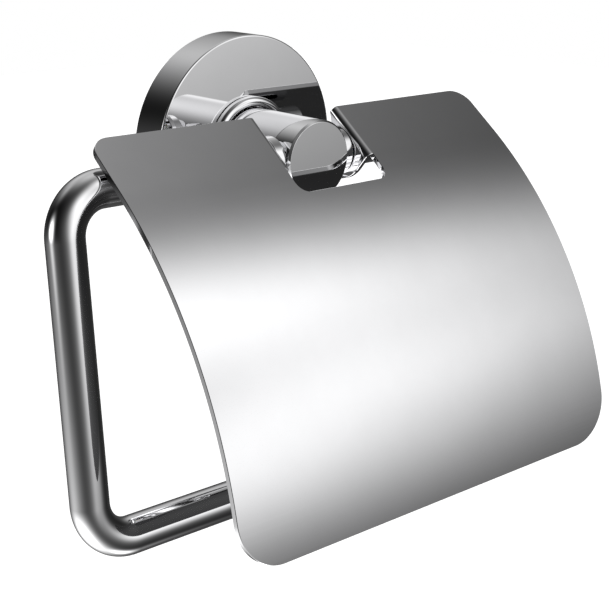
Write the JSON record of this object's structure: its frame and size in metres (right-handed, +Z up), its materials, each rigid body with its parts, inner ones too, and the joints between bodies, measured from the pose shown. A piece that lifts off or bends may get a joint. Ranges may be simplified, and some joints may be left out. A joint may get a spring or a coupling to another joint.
{
  "type": "toilet paper holder",
  "caption": "Wall-mounted toilet paper holder: a round rosette and post carry a bent round bar for the roll and a hinged curved sheet cover.",
  "frame": {"origin": "centre of the wall bracket's flat back face, on the wall plane and on the axis of the rosette and post", "axes": "+Y into the wall, so the post points along -Y; +X to the right as seen from the room; +Z up"},
  "size_m": [0.1438, 0.0882, 0.1203],
  "materials": {
    "chrome": "polished",
    "bar_chrome": "polished",
    "cover_chrome": "polished",
    "zinc": "cast",
    "screw_steel": "satin",
    "nylon": "matte"
  },
  "bodies": {
    "wall_body": {"wall_bracket": "zinc", "rosette": "chrome", "rosette_grub_screw": "screw_steel", "collar_ring": "chrome", "post": "chrome", "post_screw": "screw_steel", "post_washer": "screw_steel", "holder_bar": "bar_chrome", "bar_set_screw": "screw_steel", "left_spacer_ring": "chrome", "right_spacer_ring": "chrome", "stop_pin": "screw_steel"},
    "cover_body": {"cover": "cover_chrome", "left_ear_bush": "nylon", "right_ear_bush": "nylon"}
  },
  "joints": [
    {"name": "cover_hinge", "type": "hinge", "parent": "wall_body", "child": "cover_body", "pos_m": [0, -0.0329, 0], "axis": [-1, 0, 0], "range_deg": [0, 156]}
  ]
}
